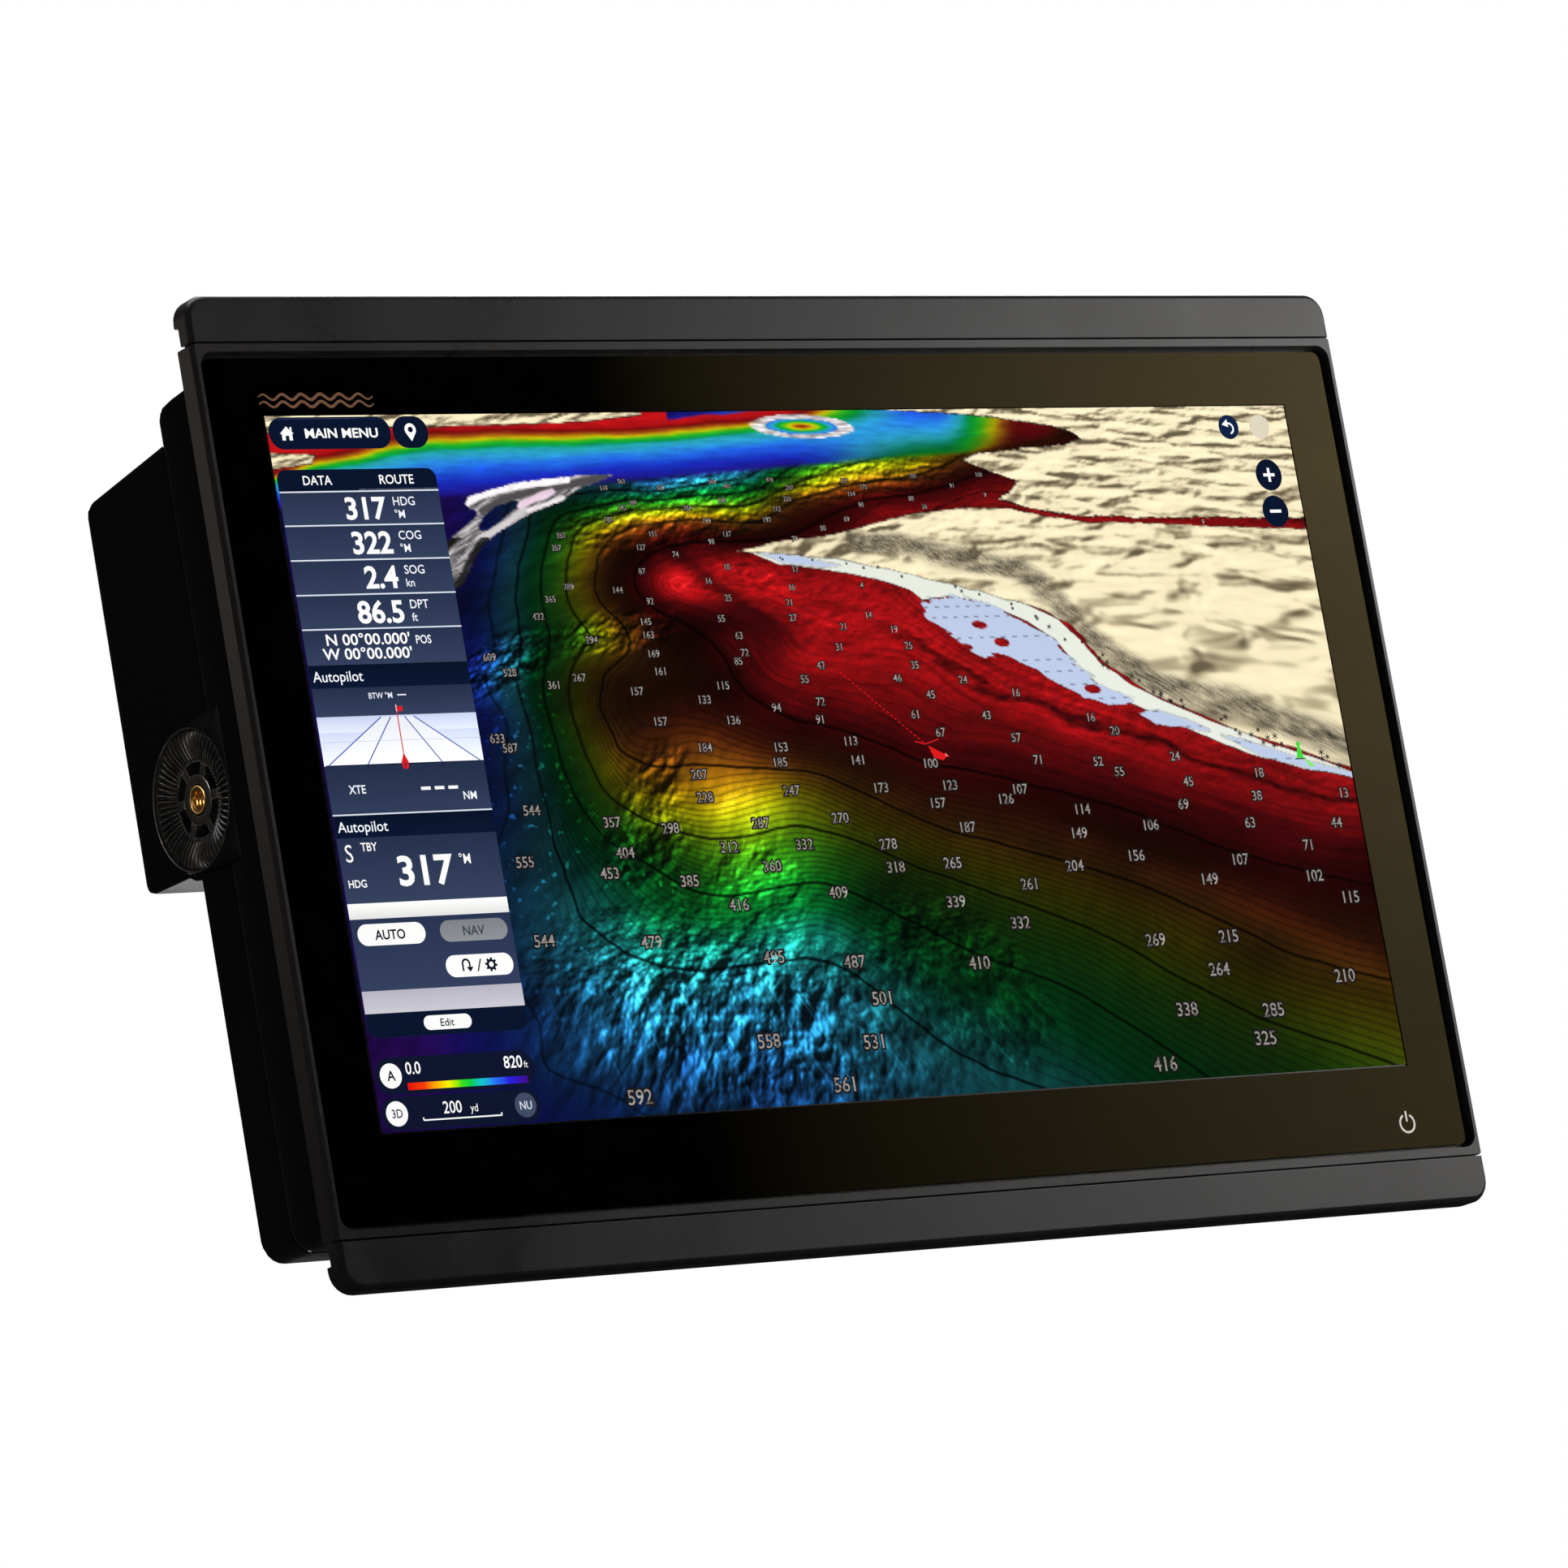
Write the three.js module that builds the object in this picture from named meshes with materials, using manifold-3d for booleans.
// Marine chartplotter display, 15.6 inch wide-screen class, with a bracket boss on each side.
// Millimetres: +X is to the right seen from the front, the screen faces -Y, +Z is up.
// Pieces are modelled about the centre of the cover glass' front face; the root group moves
// them so that the origin is the centre of the bounding box's bottom.
// Cutters overshoot the faces they open, and joined parts overlap a little.

import * as THREE from 'three';
import { mergeVertices } from 'three/addons/utils/BufferGeometryUtils.js';
import Module from 'manifold-3d';

const wasm = await Module();
wasm.setup();

// ---------------------------------------------------------------- driving dimensions
const HALF_WIDTH = 192.0;       // over the front frame
const DEPTH = 76.2;             // front glass to the back of the rear bulge
const TRIM_TOP = 133.7;         // half height over the trims
const SPLIT_Z = 120.1;          // where the frame ends and a trim starts
const FRAME_DEPTH = 7.7;        // depth of the frame's rim
const HOOK_X = [-113, 0, 113];  // trim hooks and their slots in the frame

const GLASS = { halfWidth: 189.55, halfHeight: 117.3, thickness: 2.0, radius: 3.5 };
const ACTIVE = { halfWidth: 172.1, halfHeight: 96.8, z: 3.99 };  // picture area

const TUB = { halfWidth: 187.0, top: 113.2, bottom: -118.2 };  // front half of the housing
const COVER = {                 // rear half of the housing
  halfWidth: 185.6, front: 32.0, top: 102.2, bottom: -117.8,
  wall: 2.8, rim: 4.8, rimBack: 36.0,  // wall, and the thicker rim at its front
};
const STEP_Y = 48.3;            // flat back below the bulge
const BULGE_BOTTOM = -11.3;

const BOSS = {                  // bracket boss; depths run inwards from its outer face
  x: TUB.halfWidth, y: 44.1, z: 7.5,
  padRadius: 19.6, padFront: 20.3, padDepth: 1.1, padFlare: 1.1,
  stepRadius: 18.9, stepDepth: 3.0,
  coreRadius: 16.8, coreDepth: 15.0,
};
const BOSS_GAP = { pad: 0.3, radius: 0.4, depth: 0.3 };  // room left for it in the housing

const PLATE = {                 // connector plate, flush in the bulge's underside
  z: BULGE_BOTTOM, halfWidth: 152, y: [51.8, 71.2], thickness: 1.4,
  openHalfWidth: 141.5, screwX: 146.8, screwHoleRadius: 1.8,
};
const CONNECTOR_Y = 61.5;

const DOOR = { x: [104, 164], z: [-84, -48], thickness: 2.6 };  // card door in the stepped back
const PIN = { y: STEP_Y - 1.3, z: DOOR.z[0] + 2.0, radius: 1.2 };
const CARD_OPENING = {
  x: [DOOR.x[0] + 6, DOOR.x[1] - 6],
  z: [DOOR.z[0] + 9, DOOR.z[1] - 5],
};

const VENT = { x: -132, z: -66, capRadius: 6.9 };
const RATING = { x: [-44, 44], z: [26, 66], depth: 0.4, radius: 2.5 };

// Rear screws: x, z, y of the surface each one sits in
const REAR_SCREWS = [
  [-172, -104, STEP_Y], [-60, -104, STEP_Y], [60, -104, STEP_Y], [172, -104, STEP_Y],
  [-168, 6, DEPTH], [168, 6, DEPTH], [-168, 80, DEPTH], [168, 80, DEPTH],
];

// ---------------------------------------------------------------- ranges
const SIDES = [-1, 1];
const span = (half) => [-half, half];
const around = (centre, half) => [centre - half, centre + half];
const grow = ([from, to], amount) => [from - amount, to + amount];

// ---------------------------------------------------------------- solid helpers
function toSolid(geometry) {
  const bare = new THREE.BufferGeometry();
  bare.setAttribute('position', geometry.attributes.position);
  bare.setIndex(geometry.index);
  const merged = mergeVertices(bare, 1e-4);
  const corners = new Uint32Array(merged.index.array);
  const build = () => new wasm.Manifold(new wasm.Mesh({
    numProp: 3,
    vertProperties: new Float32Array(merged.attributes.position.array),
    triVerts: corners,
  }));
  const solid = build();
  if (solid.volume() >= 0) return solid;
  // inside out: turn every triangle over
  for (let i = 0; i < corners.length; i += 3) {
    [corners[i + 1], corners[i + 2]] = [corners[i + 2], corners[i + 1]];
  }
  return build();
}

function solidFrom(positions, index) {
  const geometry = new THREE.BufferGeometry();
  geometry.setAttribute('position', new THREE.Float32BufferAttribute(positions, 3));
  geometry.setIndex(index);
  return toSolid(geometry);
}

function toGeometry(solid) {
  const mesh = solid.getMesh();
  const geometry = new THREE.BufferGeometry();
  geometry.setAttribute('position', new THREE.BufferAttribute(mesh.vertProperties, 3));
  geometry.setIndex(new THREE.BufferAttribute(mesh.triVerts, 1));
  const flat = geometry.toNonIndexed();
  flat.computeVertexNormals();
  return flat;
}

const join = (first, ...rest) => rest.reduce((whole, part) => whole.add(part), first);
const cut = (first, ...rest) => rest.reduce((whole, part) => whole.subtract(part), first);

// Rounded rectangle as [across, up] points, counter-clockwise. radius: one for all corners,
// or [bottom-left, bottom-right, top-right, top-left]. A zero radius gives sharp corners.
function rounded([x0, x1], [z0, z1], radius, segments) {
  const radii = Array.isArray(radius) ? radius : [radius, radius, radius, radius];
  // corner x, corner z, directions inwards, start angle
  const corners = [
    [x0, z0, 1, 1, 180], [x1, z0, -1, 1, 270], [x1, z1, -1, -1, 0], [x0, z1, 1, -1, 90],
  ];
  return corners.flatMap(([x, z, inX, inZ, start], k) => {
    const size = radii[k];
    if (size <= 0) return [[x, z]];
    return Array.from({ length: segments + 1 }, (_, i) => {
      const angle = THREE.MathUtils.degToRad(start + 90 * i / segments);
      return [x + inX * size + size * Math.cos(angle), z + inZ * size + size * Math.sin(angle)];
    });
  });
}

// Closed skin along Y or Z through [[station, outline], ...], outlines of equal point count.
function loft(axis, sections) {
  const count = sections[0][1].length;
  const positions = [];
  const index = [];
  for (const [station, outline] of sections) {
    for (const [across, up] of outline) {
      positions.push(...(axis === 'y' ? [across, station, up] : [across, up, station]));
    }
  }
  for (let k = 0; k + 1 < sections.length; k++) {
    for (let i = 0; i < count; i++) {
      const here = k * count + i;
      const next = k * count + (i + 1) % count;
      index.push(here, here + count, next, next, here + count, next + count);
    }
  }
  const cap = (k, flip) => {
    const outline = sections[k][1].map(([across, up]) => new THREE.Vector2(across, up));
    for (const triangle of THREE.ShapeUtils.triangulateShape(outline, [])) {
      const [first, second, third] = triangle.map((i) => k * count + i);
      index.push(...(flip ? [first, third, second] : [first, second, third]));
    }
  };
  cap(0, false);
  cap(sections.length - 1, true);
  return solidFrom(positions, index);
}

// Block with its XZ corners rounded.
function slab(xs, ys, zs, radius = 0, segments = 4) {
  const outline = rounded(xs, zs, radius, segments);
  return loft('y', ys.map((y) => [y, outline]));
}

function box([x0, x1], [y0, y1], [z0, z1]) {
  const geometry = new THREE.BoxGeometry(x1 - x0, y1 - y0, z1 - z0);
  return toSolid(geometry.translate((x0 + x1) / 2, (y0 + y1) / 2, (z0 + z1) / 2));
}

// centre holds the two coordinates across the axis, in x, y, z order.
function cylinder(axis, radius, [from, to], segments, centre = [0, 0], endRadius = radius) {
  const [across, along] = centre;
  const geometry = new THREE.CylinderGeometry(endRadius, radius, to - from, segments);
  geometry.translate(0, (from + to) / 2, 0);
  if (axis === 'x') geometry.rotateZ(-Math.PI / 2).translate(0, across, along);
  if (axis === 'y') geometry.translate(across, 0, along);
  if (axis === 'z') geometry.rotateX(Math.PI / 2).translate(across, along, 0);
  return toSolid(geometry);
}

// (y, z) outline run along X.
function runX(outline, [x0, x1]) {
  const shape = new THREE.Shape(outline.map(([y, z]) => new THREE.Vector2(y, z)));
  const geometry = new THREE.ExtrudeGeometry(shape, { depth: x1 - x0, bevelEnabled: false });
  geometry.applyMatrix4(new THREE.Matrix4().makeBasis(
    new THREE.Vector3(0, 1, 0), new THREE.Vector3(0, 0, 1), new THREE.Vector3(1, 0, 0)));
  return toSolid(geometry.translate(x0, 0, 0));
}

// Geometry of a (radius, y) profile turned about Y.
function turned(profile, segments) {
  const points = profile.map(([radius, y]) => new THREE.Vector2(radius, y));
  return new THREE.LatheGeometry(points, segments);
}

// Flat ribbon of constant thickness along a (y, z) polyline, run along X.
function ribbon(line, thickness, xs) {
  const upper = [];
  const lower = [];
  line.forEach(([y, z], i) => {
    const before = line[Math.max(i - 1, 0)];
    const after = line[Math.min(i + 1, line.length - 1)];
    const way = new THREE.Vector2(after[0] - before[0], after[1] - before[1]).normalize();
    const offset = [-way.y * thickness / 2, way.x * thickness / 2];
    upper.push([y + offset[0], z + offset[1]]);
    lower.unshift([y - offset[0], z - offset[1]]);
  });
  return runX([...upper, ...lower], xs);
}

// ---------------------------------------------------------------- finishes
const finish = {
  glass: { color: 0x0b0a08, roughness: 0.06 },
  print: { color: 0x050505, roughness: 0.5 },
  frame: { color: 0x262425, roughness: 0.62 },
  trim: { color: 0x272526, roughness: 0.58 },
  housing: { color: 0x0b0b0c, roughness: 0.28 },
  boss: { color: 0x1a1a1b, roughness: 0.42 },
  brass: { color: 0xd49a3a, roughness: 0.28, metalness: 1 },
  rubber: { color: 0x121212, roughness: 0.85 },
  foam: { color: 0x1b1b1b, roughness: 0.95 },
  board: { color: 0x1d5a33, roughness: 0.55 },
  steel: { color: 0xb9bcc0, roughness: 0.35, metalness: 1 },
  aluminium: { color: 0xc4c6c8, roughness: 0.4, metalness: 1 },
  lcd: { color: 0x0a0e14, roughness: 0.2 },
  diffuser: { color: 0xe8e8e2, roughness: 0.7 },
  polyimide: { color: 0xb9762a, roughness: 0.45 },
  nickel: { color: 0xa9a69e, roughness: 0.32, metalness: 1 },
  label: { color: 0xc9c9c6, roughness: 0.45 },
  darkPlastic: { color: 0x16181c, roughness: 0.5 },
};

function addPiece(group, name, solid, look, position = [0, 0, 0]) {
  const mesh = new THREE.Mesh(toGeometry(solid), new THREE.MeshStandardMaterial(look));
  mesh.name = name;
  mesh.position.set(...position);
  group.add(mesh);
  return mesh;
}

const display = new THREE.Group();
const frontAssembly = new THREE.Group();
const screenModule = new THREE.Group();
const electronics = new THREE.Group();
const housing = new THREE.Group();
const connectors = new THREE.Group();
const cardBay = new THREE.Group();
display.add(frontAssembly, screenModule, electronics, housing, connectors, cardBay);
display.position.set(0, -DEPTH / 2, TRIM_TOP);

// ---------------------------------------------------------------- front glass and its print
function frontGlass() {
  const chamfer = 0.35;
  const outline = (inset) => rounded(
    span(GLASS.halfWidth - inset), span(GLASS.halfHeight - inset), GLASS.radius - inset, 5);
  return loft('y', [
    [0, outline(chamfer)], [chamfer, outline(0)], [GLASS.thickness, outline(0)],
  ]);
}

function borderPrint() {
  const margin = 0.3;  // clear of the picture area
  return cut(
    slab(span(188.9), [2.15, 2.35], span(116.6), 3),
    slab(span(ACTIVE.halfWidth + margin), [2, 2.5],
      around(ACTIVE.z, ACTIVE.halfHeight + margin)));
}

const glassAdhesive = () => cut(
  slab(span(188.3), [2.6, 3.3], span(116.1), 2.6),
  slab(span(183.2), [2.4, 3.5], [-104.6, 112.6], 1));

addPiece(frontAssembly, 'front_glass', frontGlass(), finish.glass);
addPiece(frontAssembly, 'border_print', borderPrint(), finish.print);
addPiece(frontAssembly, 'glass_adhesive', glassAdhesive(), finish.foam);

// ---------------------------------------------------------------- front frame
const FLANGE = { halfWidth: 189.3, halfHeight: 131.2, front: 2.4, radius: 5 };
const MOUNT_HOLES = { x: [-168, -58, 58, 168], z: 125.6, radius: 2.7 };
const HOOK_SLOT = { z: 128.1, halfWidth: 6.5, halfHeight: 1.7 };
const GLASS_POCKET = { gap: 0.6, back: 3.6, extraRadius: 0.3 };
// Rim sections: y, inset of the sides
const RIM_SECTIONS = [[0, 0.8], [1.5, 0], [FRAME_DEPTH - 0.3, 0], [FRAME_DEPTH, 0.3]];

function frontFrame() {
  const rim = loft('y', RIM_SECTIONS.map(([y, inset]) =>
    [y, rounded(span(HALF_WIDTH - inset), span(SPLIT_Z), 0.5, 2)]));
  const flange = slab(span(FLANGE.halfWidth), [FLANGE.front, FRAME_DEPTH],
    span(FLANGE.halfHeight), FLANGE.radius);
  const through = [2, 8];
  const holes = SIDES.flatMap((side) => [
    ...MOUNT_HOLES.x.map((x) =>
      cylinder('y', MOUNT_HOLES.radius, through, 10, [x, side * MOUNT_HOLES.z])),
    ...HOOK_X.map((x) => box(around(x, HOOK_SLOT.halfWidth), through,
      around(side * HOOK_SLOT.z, HOOK_SLOT.halfHeight))),
  ]);
  const pocket = slab(span(GLASS.halfWidth + GLASS_POCKET.gap), [-1, GLASS_POCKET.back],
    span(GLASS.halfHeight + GLASS_POCKET.gap), GLASS.radius + GLASS_POCKET.extraRadius, 5);
  const window = slab(span(182), [3, 9], [-103.4, 111.4], 1.5);
  const keyBoardRecess = box([154, 181], [5.0, 9], [-115, -104.5]);
  const touchCableNotch = box([-22, 12], [3, 9], [-106.6, -103]);
  return cut(join(rim, flange), pocket, window, keyBoardRecess, touchCableNotch, ...holes);
}
addPiece(frontAssembly, 'front_frame', frontFrame(), finish.frame);

// ---------------------------------------------------------------- clip-fitted trims
const TRIM = { bottom: SPLIT_Z + 0.5, wall: 1.9, radius: 6.4 };
const PRY_NOTCH = { front: 5.5, top: 126.0, width: 2.4 };  // in each side of a trim
// Trim sections: y, inset of the sides, inset of the top
const TRIM_SECTIONS = [
  [0, 1.1, 1.5], [0.55, 0.45, 0.6], [1.7, 0, 0],
  [FRAME_DEPTH - 0.4, 0, 0], [FRAME_DEPTH, 0.4, 0.4],
];
// Hook side view: y, z. A leg with a small barb, set into the front wall
const HOOK_OUTLINE = [
  [1.2, 127.0], [7.0, 127.0], [7.5, 127.5], [7.5, 128.6],
  [6.6, 129.2], [5.6, 128.7], [1.2, 128.7],
];

// The top trim; the bottom one is the same shape turned half a turn about Y.
function trim() {
  const outer = loft('y', TRIM_SECTIONS.map(([y, side, top]) => {
    const radius = TRIM.radius - side;
    return [y, rounded(span(HALF_WIDTH - side), [TRIM.bottom, TRIM_TOP - top],
      [0.3, 0.3, radius, radius], 6)];
  }));
  const inner = slab(span(HALF_WIDTH - TRIM.wall), [TRIM.wall, FRAME_DEPTH + 1],
    [TRIM.bottom - 2, TRIM_TOP - TRIM.wall], [0.3, 0.3, 4.6, 4.6], 5);
  const notch = box([HALF_WIDTH - PRY_NOTCH.width, HALF_WIDTH + 1],
    [PRY_NOTCH.front, FRAME_DEPTH + 1], [TRIM.bottom - 1, PRY_NOTCH.top]);
  const hooks = HOOK_X.map((x) => runX(HOOK_OUTLINE, around(x, 5)));
  return join(cut(outer, inner, notch, notch.mirror([1, 0, 0])), ...hooks);
}
addPiece(frontAssembly, 'top_trim', trim(), finish.trim);
addPiece(frontAssembly, 'bottom_trim', trim(), finish.trim).rotation.y = Math.PI;

// ---------------------------------------------------------------- gasket behind the flange
const consoleGasket = () => cut(
  slab(span(189.6), [8.0, 9.8], span(121.6), 5, 3),
  slab(span(187.5), [7.5, 10.5], [-118.8, 113.8], [6, 6, 2, 2], 3));
addPiece(frontAssembly, 'console_gasket', consoleGasket(), finish.foam);

// ---------------------------------------------------------------- screen module
const CHASSIS = { halfWidth: 181, halfHeight: 104.6, wall: 1 };
const CHASSIS_RIBS = { x: [-120, -40, 40, 120], halfWidth: 4, halfHeight: 92 };

const lcdPanel = () => join(
  slab(span(177.5), [2.75, 3.45], around(ACTIVE.z, 102.3), 0.5, 1),
  slab(span(175.5), [3.4, 4.3], [ACTIVE.z - 99.5, ACTIVE.z + 101.3], 0.5, 1));

const backlightUnit = () => join(
  slab(span(179.4), [4.6, 8.8], around(ACTIVE.z, 103), 1, 2),
  slab(span(170), [8.7, 9.9], around(ACTIVE.z, 96), 1, 2));

function lcdChassis() {
  const { halfWidth, halfHeight, wall } = CHASSIS;
  const tray = cut(
    slab(span(halfWidth), [4.6, 12.0], around(ACTIVE.z, halfHeight), 1.4, 3),
    slab(span(halfWidth - wall), [4.0, 10.2], around(ACTIVE.z, halfHeight - wall), 0.6, 2));
  const ribs = CHASSIS_RIBS.x.map((x) => slab(around(x, CHASSIS_RIBS.halfWidth),
    [11.8, 13.2], around(ACTIVE.z, CHASSIS_RIBS.halfHeight), 1.5, 2));
  return join(tray, ...ribs);
}

addPiece(screenModule, 'lcd_panel', lcdPanel(), finish.lcd);
addPiece(screenModule, 'backlight_unit', backlightUnit(), finish.diffuser);
addPiece(screenModule, 'lcd_chassis', lcdChassis(), finish.steel);

// ---------------------------------------------------------------- bracket boss room
// U-shaped pad in (y, z) about the boss centre: round at the back, slightly flared forward.
function padOutline(gap) {
  const radius = BOSS.padRadius + gap;
  const front = -BOSS.padFront - gap;
  const steps = 18;
  const arc = Array.from({ length: steps + 1 }, (_, i) => {
    const angle = -Math.PI / 2 + Math.PI * i / steps;
    return [radius * Math.cos(angle), radius * Math.sin(angle)];
  });
  return [...arc, [front, radius + BOSS.padFlare], [front, -radius - BOSS.padFlare]];
}

// Moves a solid from the boss frame (centre at the origin, face looking along -X) to its side.
const placeBoss = (solid, side) => side < 0
  ? solid.translate([-BOSS.x, BOSS.y, BOSS.z])
  : solid.rotate([0, 180, 0]).translate([BOSS.x, BOSS.y, BOSS.z]);

const stepRoom = (outside) => cylinder('x', BOSS.stepRadius + BOSS_GAP.radius,
  [outside, BOSS.stepDepth + BOSS_GAP.depth], 28);

// ---------------------------------------------------------------- housing tub
// Tub sections: y, inset of the sides, of the top, of the bottom
const TUB_SECTIONS = [
  [8.0, 0.3, 0.2, 0], [8.6, 0, 0, 0], [23.4, 0, 1.3, 0.1], [28.4, 0.5, 1.8, 0.2],
  [29.8, 0.8, 2.2, 0.35], [30.9, 1.05, 3.1, 0.5], [31.7, 1.4, 4.5, 0.9],
];
const TUB_POSTS = [[-150, 90], [150, 90], [-150, -100], [150, -100]];  // x, z
const GROOVE_OUTER = { halfWidth: 182.9, z: [-116.0, 99.4] };  // seal groove's two edges
const GROOVE_INNER = { halfWidth: 181.0, z: [-114.1, 97.4] };

function housingTub() {
  const outer = loft('y', TUB_SECTIONS.map(([y, side, top, bottom]) => [y, rounded(
    span(TUB.halfWidth - side), [TUB.bottom + bottom, TUB.top - top], [6, 6, 2, 2], 5)]));
  const cavity = slab(span(182.6), [7, 28.7], [-115.0, 109.4], 4, 3);
  const backOpening = slab(span(179.4), [28, 33], [-112.6, 95.6], 3, 3);
  const groove = cut(
    slab(span(GROOVE_OUTER.halfWidth), [30.1, 33], GROOVE_OUTER.z, 3.4, 3),
    slab(span(GROOVE_INNER.halfWidth), [30, 34], GROOVE_INNER.z, 3, 3));
  const bossRooms = SIDES.map((side) =>
    placeBoss(join(runX(padOutline(BOSS_GAP.pad), [-2, 1.5]), stepRoom(0)), side));
  // posts inside the back, each tied by an arm to the top or bottom wall
  const posts = TUB_POSTS.map((centre) => cylinder('y', 4.5, [18.5, 28.9], 8, centre));
  const arms = TUB_POSTS.map(([x, z]) =>
    box(around(x, 3), [24.5, 29.2], z > 0 ? [z, 110.0] : [-115.5, z]));
  return join(cut(outer, cavity, backOpening, groove, ...bossRooms), ...posts, ...arms);
}

function housingSeal() {
  const outerGap = 0.2;
  const innerGap = 0.25;
  return cut(
    slab(span(GROOVE_OUTER.halfWidth - outerGap), [30.35, 31.85],
      grow(GROOVE_OUTER.z, -outerGap), 3.2, 3),
    slab(span(GROOVE_INNER.halfWidth + innerGap), [30, 32],
      grow(GROOVE_INNER.z, innerGap), 3, 3));
}

addPiece(housing, 'housing_tub', housingTub(), finish.housing);
addPiece(housing, 'housing_seal', housingSeal(), finish.rubber);

// ---------------------------------------------------------------- rear cover
// Deck (lower part) sections: y, inset of the sides, of the bottom
const DECK_SECTIONS = [
  [COVER.front, 0, 0], [STEP_Y - 1.8, 0, 0.2], [STEP_Y - 0.55, 0.55, 0.75], [STEP_Y, 1.7, 2.0],
];
// Bulge sections: y, inset of the sides, of the bottom, y where the slope is read, drop below it
const BULGE_SECTIONS = [
  [COVER.front, 0, 0, COVER.front, 0], [72.2, 0, 0, 72.2, 0], [74.4, 0.1, 0.6, 74.4, 0.6],
  [75.6, 0.6, 1.6, 75, 1.7], [DEPTH, 1.6, 3.1, 75, 3.2],
];
const SLOPE_END = { y: 70.6, z: 97.7 };  // a point on the sloping top, near its rear

// Height of the bulge's sloping top.
const slopeTop = (y) => COVER.top
  + (SLOPE_END.z - COVER.top) * (y - COVER.front) / (SLOPE_END.y - COVER.front);

function coverOuter() {
  const deck = DECK_SECTIONS.map(([y, side, bottom]) => [y, rounded(
    span(COVER.halfWidth - side), [COVER.bottom + bottom, COVER.top - 40], [6, 6, 1, 1], 5)]);
  const bulge = BULGE_SECTIONS.map(([y, side, bottom, slopeY, drop]) => [y, rounded(
    span(COVER.halfWidth - side), [BULGE_BOTTOM + bottom, slopeTop(slopeY) - drop],
    [1.4, 1.4, 2.2, 2.2], 5)]);
  return join(loft('y', deck), loft('y', bulge));
}

function coverCavities() {
  const { halfWidth, wall, rim, rimBack, front, top, bottom } = COVER;
  const deck = slab(span(halfWidth - wall), [rimBack, STEP_Y - wall],
    [bottom + wall, top - 42], [3.4, 3.4, 1, 1], 3);
  const bulgeSection = (y, slopeY) => [y, rounded(span(halfWidth - wall),
    [BULGE_BOTTOM + wall, slopeTop(slopeY) - wall], [1, 1, 2.4, 2.4], 3)];
  const bulge = loft('y', [bulgeSection(rimBack, rimBack), bulgeSection(DEPTH - wall, 72)]);
  const mouth = slab(span(halfWidth - rim), [front - 1, rimBack + 0.5],
    [bottom + rim, top - rim], 2.4, 3);
  return [deck, bulge, mouth];
}

const atPlateScrews = (radius, zs, segments) => SIDES.map((side) =>
  cylinder('z', radius, zs, segments, [side * PLATE.screwX, CONNECTOR_Y]));

// Material added inside the cover: boss seats, screw wells, card bay, vent, plate screws.
function coverFittings() {
  const seat = () => cut(
    cylinder('x', 21.5, [2.0, 12.5], 20),
    box([0, 20], [-30, COVER.front - BOSS.y], span(30)));
  return [
    ...SIDES.map((side) => placeBoss(seat(), side)),
    ...REAR_SCREWS.map(([x, z, y]) => box(around(x, 5.6), [y - 7.6, y - 1.2], around(z, 5.6))),
    slab(grow(DOOR.x, 5), [39.0, STEP_Y - 1.4], grow(DOOR.z, 5), 3, 1),
    cylinder('y', 9.5, [44, STEP_Y - 1], 12, [VENT.x, VENT.z]),
    ...atPlateScrews(4.0, [PLATE.z + 2.2, PLATE.z + 8], 10),
  ];
}

const bossRoom = () => join(
  cylinder('x', BOSS.coreRadius + BOSS_GAP.radius, [-1, 20], 24), stepRoom(-1));

const screwCuts = () => REAR_SCREWS.flatMap(([x, z, y]) => [
  cylinder('y', 4.3, [y - 4.4, y + 1], 12, [x, z]),  // head recess
  cylinder('y', 1.9, [y - 9, y], 6, [x, z]),         // shank hole
]);

const plateCuts = () => [
  box(span(PLATE.halfWidth + 0.4), grow(PLATE.y, 0.4),
    [PLATE.z - 1, PLATE.z + PLATE.thickness + 0.3]),
  box(span(PLATE.openHalfWidth), grow(PLATE.y, -1.6), [PLATE.z - 1, PLATE.z + 6]),
  ...atPlateScrews(PLATE.screwHoleRadius, [PLATE.z - 1, PLATE.z + 6], 8),
];

// Door recess, card opening, knuckle channel, pin channel and finger scoop.
function doorCuts() {
  const recessX = grow(DOOR.x, 0.4);
  const scoopCentre = [(DOOR.x[0] + DOOR.x[1]) / 2, DOOR.z[1] + 3];
  return [
    slab(recessX, [STEP_Y - DOOR.thickness - 0.3, STEP_Y + 1], grow(DOOR.z, 0.4), 2.4, 3),
    slab(CARD_OPENING.x, [38, STEP_Y + 1], CARD_OPENING.z, 1.5, 3),
    cylinder('x', PIN.radius + 2.1, recessX, 14, [PIN.y, PIN.z]),
    cylinder('x', PIN.radius + 0.3, grow(DOOR.x, 4), 10, [PIN.y, PIN.z]),
    cylinder('y', 6.5, [STEP_Y - 1.6, STEP_Y + 4], 20, scoopCentre, 9.5),
  ];
}

const ratingRecess = () => slab(grow(RATING.x, 0.4), [DEPTH - 0.5, DEPTH + 1],
  grow(RATING.z, 0.4), RATING.radius + 0.4);

const ventCuts = () => [
  cylinder('y', VENT.capRadius + 0.4, [STEP_Y - 1.6, STEP_Y + 1], 18, [VENT.x, VENT.z]),
  cylinder('y', 2.5, [40, STEP_Y + 1], 8, [VENT.x, VENT.z]),
];

const rearCover = () => cut(
  join(cut(coverOuter(), ...coverCavities()), ...coverFittings()),
  ...SIDES.map((side) => placeBoss(bossRoom(), side)),
  ...screwCuts(), ...plateCuts(), ...doorCuts(), ratingRecess(), ...ventCuts());

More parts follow.
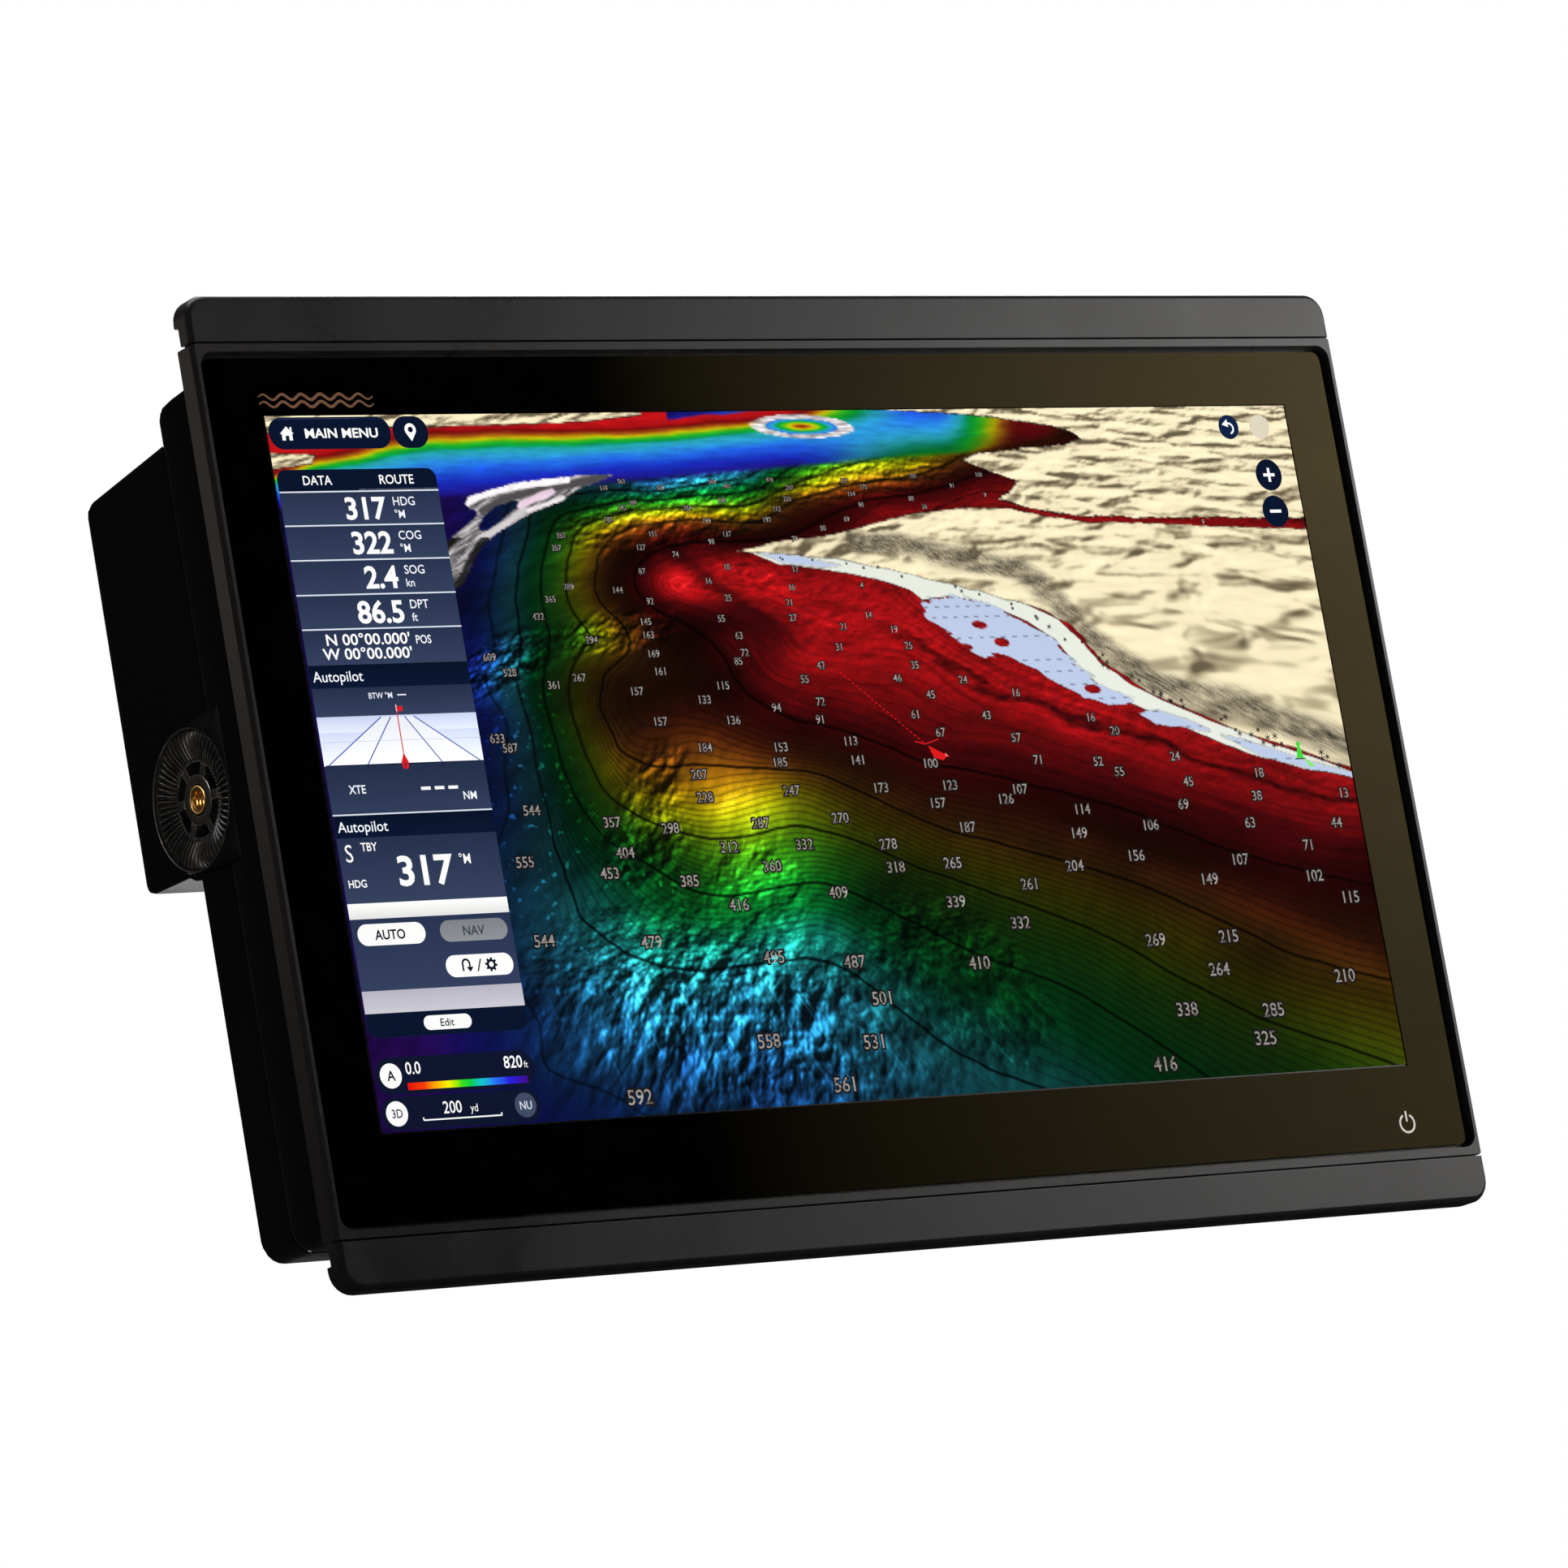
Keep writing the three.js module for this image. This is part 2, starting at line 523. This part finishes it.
function ventCap() {
  const holeCircle = 3.9;
  const holes = [0, 1, 2, 3].map((k) => {
    const angle = k * Math.PI / 2 + Math.PI / 4;
    return cylinder('y', 1.1, around(STEP_Y, 2), 6,
      [VENT.x + holeCircle * Math.cos(angle), VENT.z + holeCircle * Math.sin(angle)]);
  });
  const disc = cylinder('y', VENT.capRadius, [STEP_Y - 1.3, STEP_Y + 0.9], 18, [VENT.x, VENT.z]);
  return cut(disc, ...holes);
}

const ratingPlate = () => slab(RATING.x, [DEPTH - RATING.depth, DEPTH], RATING.z, RATING.radius);

addPiece(housing, 'rear_cover', rearCover(), finish.housing);
addPiece(housing, 'vent_cap', ventCap(), finish.rubber);
addPiece(housing, 'rating_plate', ratingPlate(), finish.label);

// ---------------------------------------------------------------- bracket bosses and inserts
const TEETH = 60;
const HUB = { depth: 2.2, radius: 6.8, recessRadius: 10.1, pocketDepth: 7.0 };
const SPOKES = { count: 6, width: 2.6, startAngle: 33, length: 8, radius: 8.6 };
const INSERT = { outerRadius: 3.95, boreRadius: 2.7, length: 12.0 };
// Cutter that leaves the tooth ring: radius, depth at a tooth crest, depth at a valley
const TOOTH_RINGS = [
  [18.4, -3, -3], [18.4, 1.15, 1.95], [15.7, 0.55, 1.35], [9.9, HUB.depth, HUB.depth],
  [9.9, -3, -3],
];

function toothCutter() {
  const count = TEETH * 2;
  const positions = [];
  const index = [];
  TOOTH_RINGS.forEach(([radius, crest, valley], k) => {
    const nextRing = (k + 1) % TOOTH_RINGS.length;
    for (let i = 0; i < count; i++) {
      const angle = 2 * Math.PI * i / count;
      positions.push(i % 2 ? valley : crest, -radius * Math.sin(angle), radius * Math.cos(angle));
      const j = (i + 1) % count;
      const here = k * count + i;
      const next = k * count + j;
      const across = nextRing * count + i;
      index.push(here, next, across, next, nextRing * count + j, across);
    }
  });
  return join(solidFrom(positions, index),
    cylinder('x', HUB.recessRadius, [-2.5, HUB.depth], 30));
}

// Ring pocket around the hub, broken up by spokes.
function hubPocket() {
  const ring = cut(
    cylinder('x', HUB.recessRadius, [1.0, HUB.pocketDepth], 30),
    cylinder('x', HUB.radius, [0, 16], 18));
  const spokes = Array.from({ length: SPOKES.count }, (_, k) => {
    const angle = THREE.MathUtils.degToRad(SPOKES.startAngle + 360 / SPOKES.count * k);
    const geometry = new THREE.BoxGeometry(8, SPOKES.width, SPOKES.length);
    return toSolid(geometry.translate(HUB.depth + 4, 0, SPOKES.radius).rotateX(angle));
  });
  return cut(ring, ...spokes);
}

function bracketBoss() {
  const pad = runX(padOutline(0), [0, BOSS.padDepth]);
  const step = cylinder('x', BOSS.stepRadius, [1.0, BOSS.stepDepth], 28);
  const core = cut(
    cylinder('x', BOSS.coreRadius, [1.0, BOSS.coreDepth], 24),
    box([BOSS.stepDepth - 0.5, 20], [-30, -11.5], span(30)));
  return cut(join(pad, step, core), toothCutter(), hubPocket(),
    cylinder('x', INSERT.outerRadius + 0.3, [0, BOSS.coreDepth - 0.6], 18));
}

// Brass sleeve with a countersunk mouth.
const threadInsert = () => cut(
  cylinder('x', INSERT.outerRadius, [0, INSERT.length], 18),
  cylinder('x', INSERT.boreRadius, [-1, INSERT.length + 1], 14),
  cylinder('x', INSERT.boreRadius + 0.6, [-0.2, 0.6], 14, [0, 0], INSERT.boreRadius));

for (const [name, side] of [['left', -1], ['right', 1]]) {
  const mount = new THREE.Group();
  mount.position.set(side * BOSS.x, BOSS.y, BOSS.z);
  if (side > 0) mount.rotation.y = Math.PI;
  addPiece(mount, name + '_bracket_boss', bracketBoss(), finish.boss);
  addPiece(mount, name + '_thread_insert', threadInsert(), finish.brass,
    [HUB.depth - 0.15, 0, 0]);
  housing.add(mount);
}

// ---------------------------------------------------------------- screws
const SCREW_HEAD = [[0, 0], [3.5, 0], [3.3, 1.4], [1.9, 2.3], [0, 2.3]];  // radius, y

// Pan head towards +Y with a cross slot, shank towards -Y; the origin is under the head.
function screw() {
  const slotLength = span(1.8);
  const slotWidth = span(0.45);
  return cut(
    join(toSolid(turned(SCREW_HEAD, 14)), cylinder('y', 1.5, [-4.2, 0.2], 7)),
    box(slotWidth, [1.0, 3], slotLength),
    box(slotLength, [1.0, 3], slotWidth));
}

REAR_SCREWS.forEach(([x, z, y], i) => {
  const mesh = addPiece(housing, 'rear_screw_' + (i + 1), screw(), finish.steel, [x, y - 4.2, z]);
  mesh.rotation.y = 0.4 + i * 0.7;  // each slot stopped at its own angle
});
SIDES.forEach((side, i) => {
  const mesh = addPiece(connectors, 'plate_screw_' + (i + 1), screw(), finish.steel,
    [side * PLATE.screwX, CONNECTOR_Y, PLATE.z - 0.3]);
  mesh.rotation.x = -Math.PI / 2;
});

// ---------------------------------------------------------------- electronics
const FINS = { count: 9, pitch: 28, firstX: -112, thickness: 3 };
const BOARD_Y = [55.0, 56.6];  // the two boards in the bulge
const PART_BACK = 55.2;        // their parts stand forward from here
// Blocks on the main board: x, y and z ranges
const MAIN_BOARD_PARTS = [
  [[-20, 24], [34.6, 36.6], [-18, 20]],
  [[-70, -52], [34.6, 36.2], [-10, 14]],
  [[-46, -28], [34.6, 36.2], [-10, 14]],
  [[-104, -84], [34.6, 38.4], [-30, 10]],
  [[88, 110], [34.6, 37.2], [14, 36]],
  [[50, 64], [34.6, 36.0], [-50, -36]],
];
const SHIELD = { x: [-28, 32], y: [36.9, 41.4], z: [-26, 28], wall: 0.6 };
const BUZZER_CENTRE = [100, -98];  // x, z
// Cable side views: y, z
const LCD_CABLE = [
  [14.0, 97], [22, 97.4], [26, 96], [28.3, 92], [29.2, 80], [30.2, 60], [31.2, 52], [32.2, 46.5],
];
const TOUCH_CABLE = [
  [3.75, -105.2], [8, -105.0], [13, -105.2], [16, -103.5], [17.6, -100], [18.4, -96],
];

function heatSpreader() {
  const fins = Array.from({ length: FINS.count }, (_, i) => {
    const x = FINS.firstX + i * FINS.pitch;
    return box([x, x + FINS.thickness], [17.0, 22.0], [-70, 20]);
  });
  return join(slab(span(140), [15.2, 17.2], [-82, 92], 3, 3), ...fins);
}

const mainBoard = () => join(
  slab([-118, 122], [33.2, 34.8], [-68, 44], 2, 2),
  ...MAIN_BOARD_PARTS.map((ranges) => box(...ranges)));

// Thin can, open towards the board.
const processorShield = () => cut(
  box(SHIELD.x, SHIELD.y, SHIELD.z),
  box(grow(SHIELD.x, -SHIELD.wall), [36, SHIELD.y[1] - SHIELD.wall],
    grow(SHIELD.z, -SHIELD.wall)));

const powerBoard = () => join(
  slab([-172, -112], BOARD_Y, [24, 84], 2, 2),
  cylinder('y', 8, [44.5, PART_BACK], 20, [-160, 72]),
  cylinder('y', 8, [44.5, PART_BACK], 20, [-160, 52]),
  box([-146, -124], [46.5, PART_BACK], [52, 74]),
  box([-140, -118], [49, PART_BACK], [30, 44]));

const sounderBoard = () => join(
  slab([10, 160], BOARD_Y, [20, 86], 2, 2),
  box([24, 60], [45, PART_BACK], [40, 72]),
  box([78, 96], [51.2, PART_BACK], [34, 52]),
  cylinder('y', 6, [45.5, PART_BACK], 18, [120, 64]),
  cylinder('y', 6, [45.5, PART_BACK], 18, [138, 64]));

const touchBoard = () => join(
  slab([-36, 30], [19.0, 20.4], [-106, -88], 1, 2),
  box([-10, 2], [20.2, 21.6], [-102, -92]));

const powerKeyBoard = () => join(
  slab([156, 179], [5.5, 6.5], [-113.5, -106], 1, 2),
  box([160, 166], [6.4, 7.4], [-112, -108]));

const buzzer = () => cut(
  cylinder('y', 9, [19.2, 27.5], 24, BUZZER_CENTRE),
  cylinder('y', 1.5, [18.5, 20.6], 12, BUZZER_CENTRE));

addPiece(electronics, 'heat_spreader', heatSpreader(), finish.aluminium);
addPiece(electronics, 'main_board', mainBoard(), finish.board);
addPiece(electronics, 'processor_shield', processorShield(), finish.nickel);
addPiece(electronics, 'clock_cell', cylinder('y', 10, [0, 3.2], 24), finish.nickel,
  [84, 35.2, -26]);
addPiece(electronics, 'power_board', powerBoard(), finish.board);
addPiece(electronics, 'sounder_board', sounderBoard(), finish.board);
addPiece(electronics, 'touch_controller_board', touchBoard(), finish.board);
addPiece(electronics, 'power_key_board', powerKeyBoard(), finish.board);
addPiece(electronics, 'buzzer', buzzer(), finish.darkPlastic);
addPiece(electronics, 'lcd_flex_cable', ribbon(LCD_CABLE, 0.4, [-60, -20]), finish.polyimide);
addPiece(electronics, 'touch_flex_cable', ribbon(TOUCH_CABLE, 0.3, [-20, 10]), finish.polyimide);

// ---------------------------------------------------------------- connectors under the bulge
// Each one points down (-Z); its local z = 0 is the plate's lower face.
// Round connectors: name, x, flange radius, pins
const ROUND_CONNECTORS = [
  ['power_connector', -130, 8.6, 3], ['data_bus_connector', -98, 6.6, 5],
  ['multi_connector', -70, 7.6, 6],
];
const TRANSDUCER = ['transducer_connector', 44, 9.0, 8];
// Network jacks, without pins: name, x, flange radius
const JACKS = [
  ['network_connector_1', -38, 9.2], ['network_connector_2', -12, 9.2],
  ['network_connector_3', 14, 9.2],
];
const CONNECTORS = [...ROUND_CONNECTORS, ...JACKS, TRANSDUCER];
// Sockets under caps: socket name, cap name, x, half width
const CAPPED = [
  ['video_connector', 'video_port_cap', 76, 9.5],
  ['service_connector', 'service_port_cap', 106, 7.0],
];
const SOCKET_HALF_DEPTH = 4;
const NECK_INSET = 1.6;  // neck through the plate, inside the flange radius
const GROUND_X = 134;

function connectorPlate() {
  const through = [PLATE.z - 1, PLATE.z + 4];
  return cut(
    box(span(PLATE.halfWidth), PLATE.y, [PLATE.z, PLATE.z + PLATE.thickness]),
    ...atPlateScrews(PLATE.screwHoleRadius, through, 8),
    ...CONNECTORS.map(([, x, radius]) =>
      cylinder('z', radius - NECK_INSET + 0.5, through, 12, [x, CONNECTOR_Y])),
    ...CAPPED.map(([, , x, halfWidth]) => box(around(x, halfWidth + 0.3),
      around(CONNECTOR_Y, SOCKET_HALF_DEPTH + 0.3), through)),
    cylinder('z', 2.3, through, 16, [GROUND_X, CONNECTOR_Y]));
}

// A body above the plate, a flange under it, and a hollow nose.
function connectorBody(radius) {
  const profile = [  // radius, z
    [0, 5.5], [radius - NECK_INSET, 5.5], [radius - NECK_INSET, -0.3],
    [radius, -0.3], [radius, -3.1], [radius - 1.0, -3.6], [radius - 1.0, -13.1],
    [radius - 2.7, -13.1], [radius - 2.7, -6.4], [0, -6.4],
  ];
  return toSolid(turned(profile, 16).rotateX(Math.PI / 2));
}

function roundConnector(radius, pins) {
  const pinCircle = pins > 5 ? radius - 5.1 : (radius - 2.9) * 0.5;
  return join(connectorBody(radius), ...Array.from({ length: pins }, (_, k) => {
    const angle = 2 * Math.PI * k / pins;
    return cylinder('z', 0.6, [-11.0, -6.2], 5,
      [pinCircle * Math.cos(angle), pinCircle * Math.sin(angle)]);
  }));
}

const jackConnector = (radius) => cut(connectorBody(radius),
  box(span(5.2), [-3.2, 3.4], [-7, -1.5]),
  box(span(2.2), [-4.6, -3.0], [-7, -1.5]));

// Flanged shell with a contact tongue in its mouth.
const cappedSocket = (halfWidth) => cut(
  join(
    box(span(halfWidth), span(SOCKET_HALF_DEPTH), [-6, 8]),
    box(span(halfWidth + 2.2), span(6), [-2.0, -0.3])),
  box(span(halfWidth - 1.2), span(2.8), [-7, 4]),
).add(box(span(halfWidth - 2.4), span(0.6), [-3.4, 4.2]));

// Boot over the socket, with a pull tab on its rear side.
function portCap(halfWidth) {
  const sections = [  // z, half width, half depth
    [-2.3, halfWidth + 1.9, 5.7], [-7.0, halfWidth + 1.7, 5.5], [-8.4, halfWidth + 0.9, 4.7],
  ].map(([z, halfX, halfY]) => [z, rounded(span(halfX), span(halfY), 2.2, 3)]);
  const room = box(span(halfWidth + 0.3), span(SOCKET_HALF_DEPTH + 0.3), [-6.4, 0]);
  return cut(loft('z', sections), room).add(box(span(3.2), [5.2, 7.6], [-4.4, -2.6]));
}

// Stud with a round collar and a hexagonal nut.
const groundTerminal = () => join(
  cylinder('z', 2.0, [-9.0, 5.0], 10),
  cylinder('z', 4.8, [-2.0, -0.3], 16),
  cylinder('z', 4.1, [-5.0, -1.9], 6));

addPiece(connectors, 'connector_plate', connectorPlate(), finish.rubber);
for (const [name, x, radius, pins] of CONNECTORS) {
  const solid = pins ? roundConnector(radius, pins) : jackConnector(radius);
  addPiece(connectors, name, solid, pins ? finish.darkPlastic : finish.nickel,
    [x, CONNECTOR_Y, PLATE.z]);
}
for (const [name, capName, x, halfWidth] of CAPPED) {
  const position = [x, CONNECTOR_Y, PLATE.z];
  addPiece(connectors, name, cappedSocket(halfWidth), finish.nickel, position);
  addPiece(connectors, capName, portCap(halfWidth), finish.rubber, position);
}
addPiece(connectors, 'ground_terminal', groundTerminal(), finish.brass,
  [GROUND_X, CONNECTOR_Y, PLATE.z]);

// ---------------------------------------------------------------- memory-card bay
// Leaf with a rounded knuckle on the pin and a raised thumb lip.
function cardDoor() {
  const front = STEP_Y - DOOR.thickness;
  const [bottom, top] = DOOR.z;
  const hingeX = grow(DOOR.x, -0.3);
  const leaf = slab(DOOR.x, [front, STEP_Y], [bottom + 3.6, top], [0.6, 0.6, 2.2, 2.2]);
  const knuckle = cylinder('x', PIN.radius + 1.0, hingeX, 20, [PIN.y, PIN.z]);
  const web = box(hingeX, [front + 0.1, STEP_Y - 0.1], [PIN.z, bottom + 4]);
  const lip = slab(grow(DOOR.x, -18), [STEP_Y - 0.2, STEP_Y + 1.1], [top - 3.2, top - 1], 0.8, 2);
  return cut(join(leaf, knuckle, web, lip),
    cylinder('x', PIN.radius + 0.25, grow(DOOR.x, 1), 16, [PIN.y, PIN.z]));
}

const doorPin = () => cylinder('x', PIN.radius, grow(DOOR.x, 3.6), 16, [PIN.y, PIN.z]);

const doorSeal = () => cut(
  slab(grow(CARD_OPENING.x, -0.4), [43.6, STEP_Y - DOOR.thickness - 0.35],
    grow(CARD_OPENING.z, -0.4), 1.2, 3),
  slab(grow(CARD_OPENING.x, -2.2), [43, STEP_Y], grow(CARD_OPENING.z, -2.2), 0.8, 3));

// Reader on its own small board, with a slot for the card.
const cardReader = () => cut(
  join(
    slab([108, 160], [35.9, 37.3], [-76, -50], 1, 2),
    box([124, 144], [37.1, 42.6], [-70, -56])),
  box([128.1, 139.9], [38.6, 43.5], [-64.1, -62.1]));

const memoryCard = () => join(
  box([128.5, 139.5], [40.2, 44.6], [-63.7, -62.6]),
  box([128.9, 139.1], [44.4, 45.0], [-63.9, -62.4]));

addPiece(cardBay, 'card_door', cardDoor(), finish.housing);
addPiece(cardBay, 'card_door_pin', doorPin(), finish.steel);
addPiece(cardBay, 'card_door_seal', doorSeal(), finish.rubber);
addPiece(cardBay, 'card_reader', cardReader(), finish.nickel);
addPiece(cardBay, 'memory_card', memoryCard(), finish.darkPlastic);

export default display;
